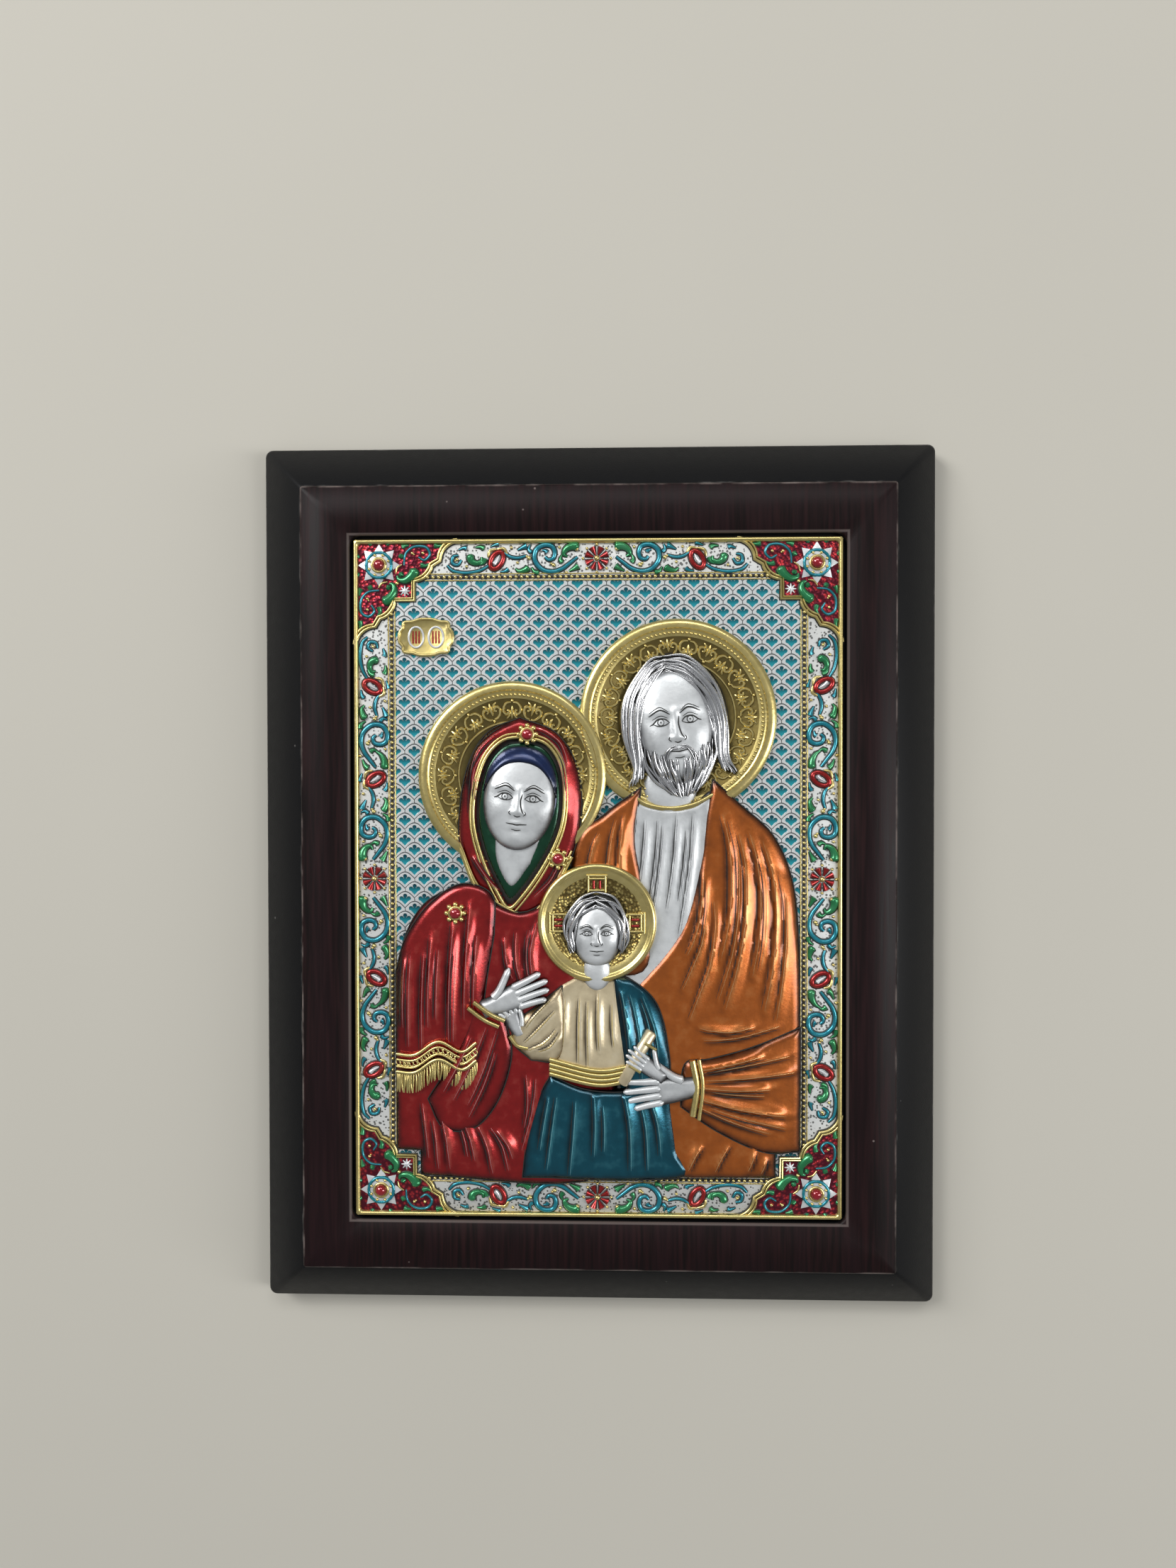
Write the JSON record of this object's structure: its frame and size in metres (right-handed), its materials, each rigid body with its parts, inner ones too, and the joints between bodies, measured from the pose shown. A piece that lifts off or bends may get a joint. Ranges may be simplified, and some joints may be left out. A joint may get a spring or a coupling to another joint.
{
  "type": "icon panel",
  "caption": "Rectangular bevelled wooden board with a silver and enamel relief plaque of haloed figures let into its face, set with red glass stones.",
  "frame": {"origin": "centre of the board's back, which lies on the surface", "axes": "+Z out of the picture's face, +Y towards the picture's top, +X to the picture's right"},
  "size_m": [0.18, 0.23, 0.0238],
  "materials": {
    "board_wood": "dark mahogany stain under satin lacquer, the bevel black",
    "enamelled_silver": "struck silver laminate, satin, with coloured enamels and pale gilding",
    "red_glass": "faceted red glass with a foil back"
  },
  "bodies": {
    "root": {"board": "board_wood", "relief_plaque": "enamelled_silver", "stone_top_left": "red_glass", "stone_top_right": "red_glass", "stone_bottom_left": "red_glass", "stone_bottom_right": "red_glass", "stone_brooch_brow": "red_glass", "stone_brooch_left": "red_glass", "stone_brooch_right": "red_glass"}
  },
  "joints": []
}
